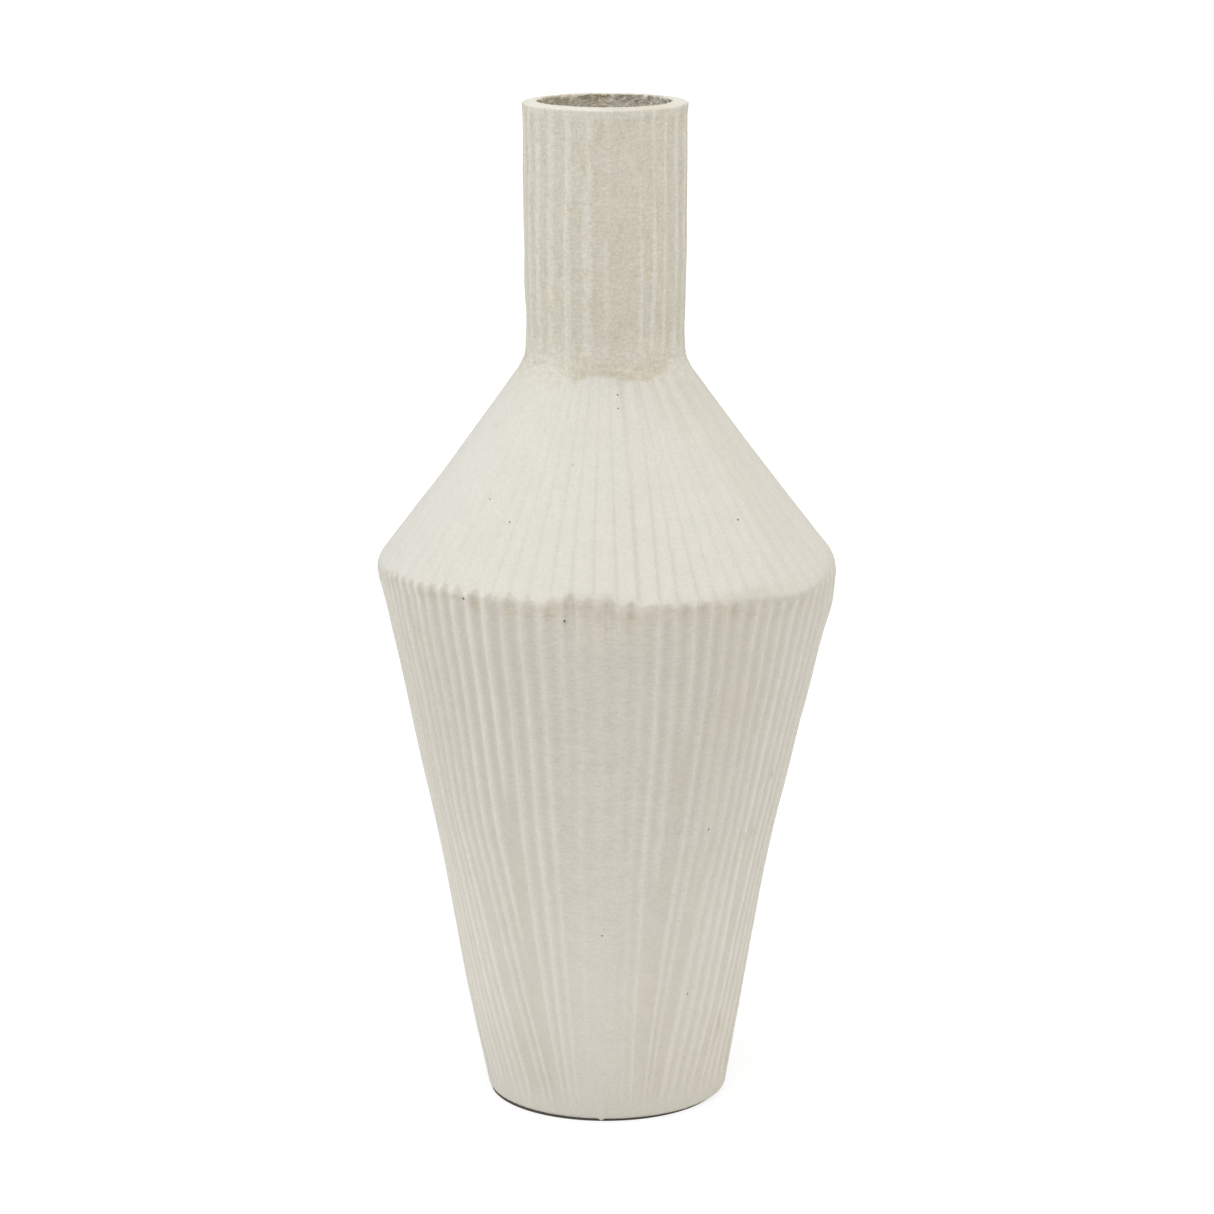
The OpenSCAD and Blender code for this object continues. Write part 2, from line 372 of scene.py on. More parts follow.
def edge_chip(phi):
    """How far the front of the edge has been torn upwards."""
    chip = 2.0 * ramp(turned(phi, 0), -16, -9) * ramp(turned(phi, 0), 8, 0)
    x, y = around(phi, WALL_NOISE_R)
    chip = chip * (1 + 0.4 * lumps(x, y, 0, 1.7, seed=33))
    return chip + sum(height * facing(phi, angle, SPUR_WIDTH) for angle, height in EDGE_SPURS)


def edge_rise(phi):
    """How far above its place the edge has been worn, chips aside."""
    x, y = around(phi, WALL_NOISE_R)
    back = facing(phi, 180, 60) * lumps(x, y, 0, 20, seed=22)
    return back + sum(height * facing(phi, angle, width) for angle, height, width in EDGE_WEAR)


def edge_notch(phi):
    """How far the cone's cuts nick the edge, most of all at the front."""
    return shoulder_cuts(phi, EDGE_Z)[0] * (0.35 + 0.65 * facing(phi, 4, 26))


def edge_round(phi):
    """Over how much of a difference in radius the edge is rubbed round."""
    return 1.0 + sum(amount * facing(phi, angle, width) for angle, amount, width in EDGE_RUBS)


# ---------------------------------------------------------------- the skin


def wall_r(z):
    """The wall's radius at height z, before its ribs are cut."""
    s = z / EDGE_Z
    bend = WALL_SWAY * (np.sin(3 * math.pi * s) + 0.4 * np.sin(TURN * s)) - WALL_BOW * np.sin(math.pi * s)
    return BASE_R + s * (EDGE_R - BASE_R) + bend


def cone_r(z):
    """The same for the cone."""
    s = (z - EDGE_Z) / (NECK_Z - EDGE_Z)
    return EDGE_R + s * (NECK_R - EDGE_R) - SHOULDER_BOW * np.sin(math.pi * np.clip(s, 0, 1))


def neck_r(z):
    """The same for the neck."""
    s = (z - SEAM_Z) / (RIM_Z - SEAM_Z)
    return NECK_R + s * (RIM_R - NECK_R) + NECK_SWELL * np.sin(math.pi * np.clip(s, 0, 1))


def lean(z):
    """How far the vase leans to +X at height z, as the hand left it."""
    return sum(amount * near(z, centre, reach) for centre, amount, reach in LEANS)


def swell(z):
    """How far the wall swells outside its plain outline at height z."""
    return sum(amount * near(z, centre, reach) for centre, amount, reach in SWELLS)


def upper_r(phi, z, cone_cut, neck_cut):
    """The radius of cone and neck, with a fillet of clay smeared between them."""
    cone = cone_r(z) + swell(z) - cone_cut
    tube = neck_r(z) - neck_cut + 0.2 * near(z, NECK_Z + 1, 4)
    return soft_max(cone, tube, 2.5 + 0.8 * facing(phi, -20, 30))


def bitten_wall_r(phi, z, body_cut, upper):
    """The wall's radius, bitten and crumbled at its top and pressed out a little on the right."""
    bite = np.minimum(0.45 * (edge_rise(phi) + edge_notch(phi)) + 0.8 * edge_chip(phi), DEEPEST_BITE)
    x, y = around(phi, upper)
    crumbled = 0.22 * near(z, EDGE_Z, 4) * lumps(x, y, z, 2.4, seed=20)
    pressed = 0.9 * facing(phi, 84, 22) * near(z, 153, 7)
    return wall_r(z) + swell(z) - body_cut - bite * near(z, EDGE_Z, 8) + pressed - crumbled


def neck_foot(phi, x, y, z, ragged):
    """Where the neck's clay ends: how far on it, in its painted shade, on its fold, a dent with a painted
    shadow line, and where it folds.
    """
    side = turned(phi, 0)
    folded = ramp(side, -28, -20) * ramp(side, 52, 40)
    level = NECK_FOOT_Z - 2.0 * ramp(side, -24, -34) * ramp(side, -150, -100)
    level = level - 1.7 * facing(phi, -20, 9) - 1.4 * ramp(side, 2, 14) * ramp(side, 38, 28)
    level = level + 0.6 * lumps(x, y, 0, 6, seed=19) + 0.6 * lumps(x, y, 3 * z, 3, seed=23)
    blur = 3.2 - 2.5 * folded
    on_neck = ramp(z + (1.1 - 0.5 * folded) * ragged, level - blur, level + blur)
    # Painted shade below the neck's clay, and a painted shadow line along its fold
    shade = ramp(z, level - 0.6 * blur, level + 0.6 * blur) * ramp(z, level + 10, level + 3)
    fold = np.clip(0.65 + 0.9 * lumps(x, y, z, 4, seed=26), 0, 1)
    fold = folded * near(z, level + 0.4, 1.1) * fold
    return on_neck, shade, fold, folded


def skin(phi, z):
    """The outer radius at each angle at height z, and what the clay's colour follows there."""
    body_cut, body_hollow, body_crest_and_side_light = body_relief(phi, z)
    cone_cut, cone_hollow = shoulder_relief(phi, z)
    neck_cut, neck_hollow = neck_relief(phi, z)
    upper = upper_r(phi, z, cone_cut, neck_cut)
    wall = bitten_wall_r(phi, z, body_cut, upper)
    r = soft_min(wall, upper, edge_round(phi))

    # On which side of the ragged lines each point lies
    x, y = around(phi, r)
    ragged = 0.5 * lumps(x, y, z, 1.6, seed=14) + 0.5 * lumps(x, y, z, 4, seed=15)
    torn = 0.9 + 0.6 * facing(phi, 4, 36)
    rise, chip = edge_rise(phi), edge_chip(phi)
    on_top = wall - upper + torn * ragged - 0.5 * rise - 0.15 * chip - edge_notch(phi) + 0.1 * body_crest_and_side_light
    on_top = ramp(on_top, -0.65, 0.45)
    on_neck, shade, fold, folded = neck_foot(phi, x, y, z, ragged)

    # Dark places: grooves; painted shade on the cone just above the edge on the right and at the neck's
    # foot, with a painted shadow along its fold and smears there; and a darker band under the edge
    painted_shade_above_edge = facing(phi, 33, 17) * ramp(z, EDGE_Z + 4.5, EDGE_Z) * (0.55 + 0.35 * ragged)
    streaky = ramp(z, 217, 222) * ramp(z, 232, 226) * lumps(0.5 * x, 0.5 * y, 1.6 * z, 1.7, seed=27)
    hollow = body_hollow * (1 - on_top) + (cone_hollow + painted_shade_above_edge) * on_top * (1 - on_neck)
    hollow = np.maximum(hollow + neck_hollow * on_neck, (0.4 + 0.4 * folded) * shade)
    crumbs = 0.3 + 0.6 * lumps(x, y, z, 3.2, seed=24) + 0.6 * lumps(x, y, z, 1.4, seed=31)
    # Darker in mottled patches just under the edge, more in the grooves
    under = near(z - EDGE_Z - 0.5 * rise - 0.8 * chip, -2.4, 2.8) * (1 - on_top)
    darkening = 0.95 * under * np.clip(crumbs, 0, 1) * (0.4 + 0.6 * body_hollow)
    scrape = (0.45 + 0.55 * facing(phi, 0, 30)) * (0.35 + 0.65 * ramp(z, 45, 85)) * (1 - on_top)
    marks = {
        "hollow": np.clip(hollow + 0.45 * fold + 0.25 * streaky, 0, 1.1),
        "crest": body_crest_and_side_light * (1 - on_top),
        "on_top": on_top,
        "on_neck": on_neck,
        "scrape": scrape + on_top * (0.3 + 0.7 * on_neck),
        # Darker under the edge, and painted shade at the neck's fold
        "darkening": darkening + 0.36 * folded * shade * (0.8 + 0.5 * ragged),
    }

    # What the hand left all over
    hand = 0.18 * lumps(x, y, z, 28, seed=1) + 0.07 * lumps(x, y, z, 7, seed=2)
    grain = 0.045 * lumps(x, y, 1.6 * z, 1.5, seed=3)
    wavy = 0.16 * on_neck * lumps(x, y, z, 9, seed=28)
    return r + hand + grain + wavy - 0.5 * fold + 0.2 * streaky - INSET, marks


# ---------------------------------------------------------------- meshes


class Section:
    """The rings of one closed clay section, gathered in order round its cross-section."""

    MARKS = ("hollow", "crest", "on_top", "on_neck", "scrape", "darkening")
    # A crease sharper than this, in degrees, isn't smoothed over
    CREASE = 60

    def __init__(self):
        self.points, self.marks, self.inside = [], [], []

    def ring(self, phi, r, z, marks=None, inside=False):
        """Adds a ring. Its radius, height and marks are one value or one for each angle."""
        x, y = around(phi, r)
        self.points.append(np.stack(np.broadcast_arrays(x + lean(z), y, z), -1))
        self.marks.append([(marks or {}).get(name, 0.0) + 0 * phi for name in self.MARKS])
        self.inside.append(inside)

    def mesh(self, name, *materials):
        """Makes the object. Faces that start on an inside ring take the second material."""
        points = np.stack(self.points) * MM
        rows, columns = points.shape[:2]
        ids = np.arange(rows * columns).reshape(rows, columns)
        beside, above = np.roll(ids, -1, 1), np.roll(ids, -1, 0)
        quads = np.stack([ids, beside, np.roll(above, -1, 1), above], -1).reshape(-1, 4)
        mesh = bpy.data.meshes.new(name)
        mesh.vertices.add(rows * columns)
        mesh.vertices.foreach_set("co", points.ravel())
        mesh.loops.add(quads.size)
        mesh.loops.foreach_set("vertex_index", quads.ravel())
        mesh.polygons.add(len(quads))
        mesh.polygons.foreach_set("loop_start", np.arange(0, quads.size, 4))
        for material in materials:
            mesh.materials.append(material)
        mesh.polygons.foreach_set("material_index", np.repeat(self.inside, columns).astype(int))
        mesh.update(calc_edges=True)
        for mark, values in zip(self.MARKS, np.array(self.marks, np.float32).transpose(1, 0, 2)):
            mesh.attributes.new(mark, "FLOAT", "POINT").data.foreach_set("value", values.ravel())
        mesh.shade_smooth()
        mesh.set_sharp_from_angle(angle=math.radians(self.CREASE))
        piece = bpy.data.objects.new(name, mesh)
        bpy.context.collection.objects.link(piece)
        return piece


def levels(low, high, step, fine=None, reach=0.0):
    """Heights from low to high, step apart, or closer within reach of the fine level."""
    z, out = low, []
    while z < high - 1e-6:
        out.append(z)
        z += EDGE_STEP if fine is not None and abs(z - fine) < reach else step
    return out + [high]


def add_skin(section, ribs, steps, heights):
    """Adds the outer rings at each height, and returns the last one's angles and radii."""
    for z in heights:
        phi = ribs.columns(z, steps)
        r, marks = skin(phi, z)
        section.ring(phi, r, z, marks)
    return phi, r


def add_lip(section, phi, lip_r):
    """The rim: its rounded outer edge, crowned flat and rounded mouth, greyer on the right."""
    x, y = around(phi, RIM_R)
    uneven = np.minimum(0.2 * lumps(x, y, RIM_Z, 11, seed=6), 0.08) - 0.04
    grey = 0.9 * facing(phi, 30, 42)
    for a in np.radians([18, 36, 54, 72, 90]):
        tan = ramp(a + 0.35 * lumps(x, y, RIM_Z, 3, seed=16), 1.0, 0.3)
        tan = np.maximum(tan, grey)
        marks = {"on_top": 1.0, "scrape": 0.3, "on_neck": tan, "hollow": np.maximum(0.7 * tan, grey)}
        z = RIM_Z - LIP_ROUND + (LIP_ROUND + uneven - LIP_CROWN) * math.sin(a)
        section.ring(phi, lip_r - LIP_ROUND * (1 - math.cos(a)), z, marks)
    marks = {"on_top": 1.0, "scrape": 0.3, "on_neck": grey, "hollow": grey}
    x, y = around(phi, MOUTH_R)
    inner = MOUTH_R - 0.45 + 0.25 * lumps(x, y, RIM_Z, 3, seed=7) + 0.2 * lumps(x, y, RIM_Z, 1.1, seed=29)
    for share in (0.25, 0.5, 0.75):
        flat = (lip_r - LIP_ROUND) * (1 - share) + (inner + MOUTH_ROUND) * share
        x, y = around(phi, flat)
        dip = 0.05 * lumps(x, y, RIM_Z, 2.5, seed=17) - 0.05
        section.ring(phi, flat, RIM_Z + uneven + dip - LIP_CROWN * (1 - share) ** 2, marks)
    for degrees in (90, 60, 30):
        a = math.radians(degrees)
        z = RIM_Z + uneven - MOUTH_ROUND * (1 - math.sin(a))
        section.ring(phi, inner + MOUTH_ROUND * (1 - math.cos(a)), z, marks, inside=degrees < 90)


def make_neck(clay, raw):
    """The tube neck, with its rounded rim, rough bore and spigot."""
    bore_low = SEAM_Z - LAP_H
    section = Section()
    heights = levels(SEAM_Z, RIM_Z - LIP_ROUND, NECK_STEP, fine=RIM_Z, reach=4)
    phi, lip_r = add_skin(section, neck_ribs, STEPS_PER_NECK_RIB, heights)
    add_lip(section, phi, lip_r)
    x, y = around(phi, MOUTH_R)
    deep = levels(bore_low, RIM_Z - BORE_SHOWN, INSIDE_STEP)
    shown = levels(RIM_Z - BORE_SHOWN + 0.5, RIM_Z - MOUTH_ROUND, BORE_STEP)
    for z in reversed(deep + shown):
        rough = 0.3 * lumps(x, y, z, 4, seed=7) + 0.22 * lumps(x, y, 1.5 * z, 1.3, seed=8)
        section.ring(phi, MOUTH_R - 0.35 * ramp(z, RIM_Z - 6, RIM_Z) + rough, z, inside=True)
    section.ring(phi, MOUTH_R + SPIGOT_T, bore_low)
    section.ring(phi, MOUTH_R + SPIGOT_T, SEAM_Z)
    return section.mesh("neck_skin", clay, raw)


def inner_wall_r(z):
    """The radius of the body's inside at height z."""
    return wall_r(z) - WALL_T / math.cos(math.atan((EDGE_R - BASE_R) / EDGE_Z))


def make_shoulder(clay, raw):
    """The cone, with the step that drops inside the body's rim."""
    lap_low = EDGE_Z - LAP_H
    lap_r = EDGE_R - LAP_DEPTH
    run = (NECK_Z - EDGE_Z) / (EDGE_R - NECK_R)
    level_t = WALL_T / math.cos(math.atan(1 / run))
    spigot_r = MOUTH_R + SPIGOT_T
    throat_r = MOUTH_R + THROAT_GAP
    throat_z = EDGE_Z + (EDGE_R - level_t - throat_r) * run
    section = Section()
    heights = levels(EDGE_Z, SEAM_Z, SHOULDER_STEP, fine=EDGE_Z, reach=3)
    phi = add_skin(section, shoulder_ribs, STEPS_PER_SHOULDER_RIB, heights)[0]
    section.ring(phi, spigot_r, SEAM_Z)
    section.ring(phi, spigot_r, SEAM_Z - LAP_H)
    section.ring(phi, throat_r, SEAM_Z - LAP_H, inside=True)
    for z in reversed(levels(EDGE_Z, throat_z, INSIDE_STEP)):
        section.ring(phi, EDGE_R - level_t - (z - EDGE_Z) / run, z, inside=True)
    section.ring(phi, inner_wall_r(lap_low), lap_low, inside=True)
    section.ring(phi, lap_r, lap_low)
    section.ring(phi, lap_r, EDGE_Z)
    return section.mesh("shoulder_skin", clay, raw)


def make_body(clay, raw):
    """The tapered wall, with the coil of clay in its inner corner."""
    lap_low = EDGE_Z - LAP_H
    lap_r = EDGE_R - LAP_DEPTH
    low = FOOT_Z + FOOT_ROUND
    section = Section()
    phi = body_ribs.columns(low, STEPS_PER_BODY_RIB)
    foot_r, marks = skin(phi, low)
    nib = facing(phi, NIB_ANGLE, 1.0)
    for a in np.radians([0, 18, 36, 54, 72]):
        r = foot_r - FOOT_ROUND * (1 - math.sin(a)) + 0.3 * nib
        section.ring(phi, r, FOOT_Z + FOOT_ROUND * (1 - math.cos(a)) - 0.5 * nib, marks)
    heights = levels(low, EDGE_Z, BODY_STEP, fine=EDGE_Z, reach=4)
    phi = add_skin(section, body_ribs, STEPS_PER_BODY_RIB, heights)[0]
    section.ring(phi, lap_r, EDGE_Z)
    section.ring(phi, lap_r, lap_low)
    for z in reversed(levels(FLOOR_Z + COIL, lap_low, INSIDE_STEP)):
        phi = body_ribs.columns(z, STEPS_PER_BODY_RIB)
        section.ring(phi, inner_wall_r(z), z, inside=True)
    section.ring(phi, inner_wall_r(FLOOR_Z) - COIL, FLOOR_Z, inside=True)
    section.ring(phi, FLOOR_R, FLOOR_Z)
    section.ring(phi, FLOOR_R, FOOT_Z)
    return section.mesh("body_skin", clay, raw)


# ---------------------------------------------------------------- materials


class Recipe:
    """Short names for building one material's nodes."""

    def __init__(self, name):
        self.material = bpy.data.materials.new(name)
        self.material.use_nodes = True
        self.tree = self.material.node_tree
        self.tree.nodes.clear()

    def add(self, kind, settings=None, **inputs):
        """Adds a node. An input is named by its socket, or i and a number for the socket's place."""
        node = self.tree.nodes.new("ShaderNode" + kind)
        for key, value in (settings or {}).items():
            setattr(node, key, value)
        for key, value in inputs.items():
            numbered = key[0] == "i" and key[1:].isdigit()
            socket = node.inputs[int(key[1:]) if numbered else key.replace("_", " ")]
            if isinstance(value, bpy.types.NodeSocket):
                self.tree.links.new(value, socket)
            else:
                socket.default_value = value
        return node

    def math(self, operation, a, b=0.0):
        return self.add("Math", {"operation": operation}, i0=a, i1=b).outputs[0]

    def plus(self, a, b):
        return self.math("ADD", a, b)

    def minus(self, a, b):
        return self.math("SUBTRACT", a, b)

    def times(self, a, b):
        return self.math("MULTIPLY", a, b)

    def most(self, a, b):
        return self.math("MAXIMUM", a, b)

    def vector(self, operation, a, b):
        return self.add("VectorMath", {"operation": operation}, i0=a, i1=b).outputs[0]

    def length(self, vector):
        return self.add("VectorMath", {"operation": "LENGTH"}, i0=vector).outputs["Value"]

    def axis(self, vector, name):
        return self.add("SeparateXYZ", None, Vector=vector).outputs[name]

    def stretch(self, value, low, high, to_low=0.0, to_high=1.0):
        """Runs smoothly between two values as value runs from low to high."""
        node = self.add("MapRange", {"interpolation_type": "SMOOTHSTEP"}, Value=value,
                        From_Min=low, From_Max=high, To_Min=to_low, To_Max=to_high)
        return node.outputs[0]

    def blend(self, share, a, b, kind="MIX"):
        node = self.add("Mix", {"data_type": "RGBA", "blend_type": kind}, i0=share, i6=a, i7=b)
        return node.outputs[2]

    def tint(self, share, tone, stain):
        """Tone with a thin stain over it, to the share given."""
        return self.blend(share, tone, colour(*stain), "MULTIPLY")

    def cover(self, share, tone, paint):
        """Tone with paint over it, to the share given."""
        return self.blend(share, tone, colour(*paint))

    def dim(self, tone, value):
        return self.add("HueSaturation", None, Color=tone, Value=value).outputs[0]

    def noise(self, where, size_mm, detail=2.0, roughness=0.5):
        node = self.add("TexNoise", None, Vector=where, Scale=1000 / size_mm,
                        Detail=detail, Roughness=roughness)
        return node.outputs["Fac"]

    def place(self, scale=(1, 1, 1)):
        """Object coordinates, squeezed by scale."""
        here = self.add("TexCoord").outputs["Object"]
        return self.add("Mapping", None, Vector=here, Scale=scale).outputs[0]

    def bump(self, height, deep_mm, strength=1.0):
        node = self.add("Bump", None, Height=height, Strength=strength, Distance=deep_mm * MM)
        return node.outputs[0]

    def surface(self, tone, roughness, normal, specular=0.25):
        """Finishes the material with one matte surface."""
        shader = self.add("BsdfPrincipled", None, Base_Color=tone, Roughness=roughness, Normal=normal)
        shader.inputs["Specular IOR Level"].default_value = specular
        return self.finish(shader)

    def finish(self, shader):
        self.add("OutputMaterial", None, Surface=shader.outputs[0])
        return self.material


def colour(r, g, b):
    return (r, g, b, 1.0)


# Marks in the clay: angle in degrees, height, width and length in millimetres
PINHOLES = [
    (7.0, 214.7, 0.45, 0.45),
    (7.4, 218.2, 0.55, 0.55),
    (44.8, 183.7, 0.7, 0.7),
    (-43.0, 189.4, 0.5, 0.5),
    (-31.5, 184.5, 0.5, 0.5),
    (-37.4, 164.0, 0.9, 0.9),
    (-59.8, 150.9, 0.9, 0.9),
    (-10.5, 160.1, 0.9, 0.8),
    (34.3, 93.0, 0.5, 0.6),
    (34.7, 40.0, 0.5, 0.6),
    (-1.1, 61.6, 0.7, 0.4),
]
DENTS = [
    (-14.2, 161.2, 1.8, 1.3),
    (37.8, 159.5, 1.2, 1.0),
    (-10.2, 159.0, 1.6, 1.0),
    (-63.5, 207.0, 1.5, 1.5),
]
YELLOW_STAINS = [
    (59.0, 158.0, 2.6, 4.4),
    (64.5, 160.5, 1.8, 3.0),
]
FAINT_STAINS = [
    (-24.0, 160.5, 3.0, 4.0),
    (-11.8, 162.5, 2.4, 3.0),
    (8.0, 160.6, 3.6, 5.5),
    (-3.0, 158.0, 2.6, 4.5),
    (15.5, 161.5, 4.0, 3.0),
    (29.0, 160.0, 3.4, 5.0),
    (42.0, 158.0, 2.8, 5.0),
]
BROWN_STAINS = [
    (56.9, 88.0, 1.2, 4.0),
    (52.2, 87.0, 1.2, 3.2),
    (61.5, 105.0, 1.0, 3.4),
    (56.9, 26.0, 1.9, 7.0),
    (-73.0, 281.0, 0.9, 3.4),
    (-14.8, 160.4, 0.9, 1.1),
]
# How strongly each kind of stain shows, and its tone
STAINS = [
    (YELLOW_STAINS, 0.42, (0.66, 0.60, 0.38)),
    (FAINT_STAINS, 0.20, (0.62, 0.55, 0.40)),
    (BROWN_STAINS, 0.24, (0.36, 0.27, 0.17)),
]
# Where a crumb of clay sticks out of the foot
NIB_ANGLE = -3.0

# Each zone's clay: on its crests, over most of it, and down in its grooves
BODY_TONES = (0.690, 0.663, 0.602), (0.604, 0.573, 0.508), (0.556, 0.522, 0.454)
CONE_TONES = (0.592, 0.573, 0.517), (0.583, 0.564, 0.508), (0.520, 0.496, 0.430)
NECK_TONES = (0.600, 0.575, 0.502), (0.594, 0.569, 0.497), (0.546, 0.513, 0.432)
# Painted light and shade on the body: its level towards the foot, where the floor throws light up, and
# under the shoulder, where it is painted shade; then the tint of that painted shade
FOOT_BOUNCE_LIGHT, UNDER_SHOULDER_SHADE = 1.055, 0.93
UNDER_SHOULDER_SHADE_TINT = (0.999, 0.993, 0.981)
# The tint of the darkening under the edge and of the painted shade at the neck's fold
DARKENING_TINT = (0.87, 0.81, 0.72)
WARM_TINT = (0.97, 0.93, 0.86)
BLOTCH_TINT = (0.93, 0.90, 0.84)
PINHOLE_TONE = (0.13, 0.11, 0.085)


def spots(recipe, here, marks, low, high, core, rim):
    """1 inside each mark between two heights: full within core of its width, gone by rim of it."""
    mask = 0.0
    for angle, z, wide, tall in marks:
        if not low <= z <= high:
            continue
        phi = np.array([math.radians(angle)])
        x, y = around(phi, skin(phi, z)[0])
        centre = Vector((x[0] + lean(z), y[0], z)) * MM
        off = recipe.vector("MULTIPLY", recipe.vector("SUBTRACT", here, centre), (1, 1, wide / tall))
        spot = recipe.stretch(recipe.length(off), wide * core * MM, wide * rim * MM, 1.0, 0.0)
        mask = recipe.most(mask, spot)
    return mask


def scattered_pits(recipe, here):
    """1 inside the odd small pit: one 9 mm cell of the clay in fourteen has one."""
    cells = recipe.add("TexVoronoi", {"feature": "F1"}, Vector=here, Scale=1000 / 9.0, Randomness=1.0)
    small = recipe.stretch(cells.outputs["Distance"], 0.02, 0.05, 1.0, 0.0)
    rare = recipe.add("SeparateColor", None, Color=cells.outputs["Color"])
    return recipe.times(small, recipe.math("GREATER_THAN", rare.outputs[0], 0.93))


def zone_tone(recipe, marks, tones):
    """One zone's clay, darker down in its grooves and where shade is painted, and paler on its crests and
    where side light is painted.
    """
    crest, plain, deep = (colour(*tone) for tone in tones)
    tone = recipe.blend(recipe.stretch(marks["hollow"], 0.15, 0.95), plain, deep)
    return recipe.blend(recipe.stretch(marks["crest"], 0.10, 0.80), tone, crest)


def washed_tone(recipe, here, marks):
    """The wall, cone and neck under their wash, with painted light towards the foot, painted shade under
    the shoulder and at the neck's fold, the darkening under the edge, warm patches and blotches.
    """
    level = recipe.axis(here, "Z")
    # Painted light and shade: the wall brighter towards the foot, and darker and tinted under the shoulder
    painted_light_level = recipe.stretch(level, 12 * MM, 150 * MM, FOOT_BOUNCE_LIGHT, UNDER_SHOULDER_SHADE)
    wall = recipe.dim(zone_tone(recipe, marks, BODY_TONES), painted_light_level)
    wall = recipe.tint(recipe.stretch(level, 80 * MM, 160 * MM), wall, UNDER_SHOULDER_SHADE_TINT)
    tone = recipe.blend(marks["on_top"], wall, zone_tone(recipe, marks, CONE_TONES))
    tone = recipe.blend(marks["on_neck"], tone, zone_tone(recipe, marks, NECK_TONES))
    # Darker under the edge, and painted shade at the neck's fold
    tone = recipe.tint(recipe.times(marks["darkening"], 0.8), tone, DARKENING_TINT)
    broad = recipe.noise(here, 38, 3, 0.55)
    tone = recipe.tint(recipe.stretch(broad, 0.40, 0.68, 0.0, 0.13), tone, WARM_TINT)
    blotch = recipe.noise(recipe.place((1, 1, 0.35)), 2.4, 3, 0.65)
    blotch = recipe.times(recipe.stretch(blotch, 0.50, 0.68), marks["on_neck"])
    return recipe.tint(recipe.times(blotch, 0.8), tone, BLOTCH_TINT)


def make_clay(name, node):
    """Matte slip-washed clay: pale crests, deeper grooves, sandy grain, tool chatter, pinholes."""
    recipe = Recipe(name)
    low, high = height_of(node, 0) - 2, height_of(node, 1) + 2
    here = recipe.place()
    marks = {key: recipe.add("Attribute", {"attribute_name": key}).outputs["Fac"] for key in Section.MARKS}
    tone = washed_tone(recipe, here, marks)

    # Patches, tool chatter where it was scraped, and sand, which is coarser on the neck
    patch = recipe.noise(here, 7, 3, 0.6)
    combs = recipe.noise(recipe.place((1, 1, 3.4)), 2.6, 2, 0.6)
    sand = recipe.noise(here, 0.8, 2, 0.7)
    coarse = recipe.plus(recipe.times(marks["on_neck"], 0.7), 0.7)
    chatter = recipe.times(recipe.stretch(combs, 0.30, 0.62, -1.0, 0.6), marks["scrape"])
    speckle = recipe.times(recipe.stretch(sand, 0.3, 0.7, -1.0, 1.0), coarse)
    value = recipe.stretch(patch, 0.3, 0.7, 0.986, 1.014)
    value = recipe.plus(value, recipe.times(chatter, 0.045))
    value = recipe.plus(value, recipe.times(speckle, 0.055))
    tone = recipe.dim(tone, value)

    for places, share, stain in STAINS:
        mask = spots(recipe, here, places, low, high, core=0.0, rim=1.0)
        tone = recipe.cover(recipe.times(mask, share), tone, stain)
    holes = spots(recipe, here, PINHOLES, low, high, core=0.25, rim=0.6)
    pits = recipe.times(scattered_pits(recipe, here), 0.3)
    dark = recipe.most(recipe.times(holes, 0.85), pits)
    tone = recipe.cover(dark, tone, PINHOLE_TONE)

    dents = spots(recipe, here, DENTS, low, high, core=0.0, rim=1.1)
    height = recipe.times(recipe.times(combs, marks["scrape"]), 0.35)
    height = recipe.plus(height, recipe.times(recipe.times(sand, coarse), 0.22))
    height = recipe.minus(height, recipe.times(recipe.plus(dents, dark), 0.8))
    return recipe.surface(tone, recipe.stretch(sand, 0.3, 0.7, 0.88, 0.97), recipe.bump(height, 0.4))


# The unglazed inside: its tones, and those of its pale crumbs and dark grit
RAW_PALE, RAW_DEEP = (0.64, 0.61, 0.54), (0.52, 0.48, 0.40)
CRUMB_TONE, GRIT_TONE = (0.68, 0.64, 0.55), (0.20, 0.17, 0.12)
# Stains inside the mouth, from left to right: where they start and are full, and their tone
BORE_STAINS = [
    ((-3.0, -7.0), (0.64, 0.59, 0.48)),
    ((8.0, 13.0), (0.68, 0.65, 0.57)),
]
BROWN_PATCH_X, BROWN_PATCH_WIDE, BROWN_PATCH_TONE = -2.2, 3.2, (0.50, 0.44, 0.33)
# Grime in the rough clay just under the rim: where it starts and is full, and its tone
GRIME_DEPTHS, GRIME_TONE = (4.5, 1.0), (0.26, 0.22, 0.15)


def stained_tone(recipe, here, crumbs, tone):
    """The stains and grime that show inside the mouth."""
    wander = recipe.times(recipe.minus(crumbs, 0.5), 5 * MM)
    across = recipe.plus(recipe.axis(here, "X"), wander)
    for (start, full), stain in BORE_STAINS:
        tone = recipe.cover(recipe.stretch(across, start * MM, full * MM), tone, stain)
    off = recipe.math("ABSOLUTE", recipe.minus(across, BROWN_PATCH_X * MM))
    patch = recipe.stretch(off, BROWN_PATCH_WIDE * 0.5 * MM, BROWN_PATCH_WIDE * 1.1 * MM, 0.85, 0.0)
    tone = recipe.cover(patch, tone, BROWN_PATCH_TONE)
    start, full = [(RIM_Z - depth) * MM for depth in GRIME_DEPTHS]
    grimy = recipe.stretch(recipe.axis(here, "Z"), start, full, 0.15, 1.0)
    grimy = recipe.times(grimy, recipe.stretch(crumbs, 0.56, 0.44, 0.0, 0.6))
    return recipe.cover(grimy, tone, GRIME_TONE)


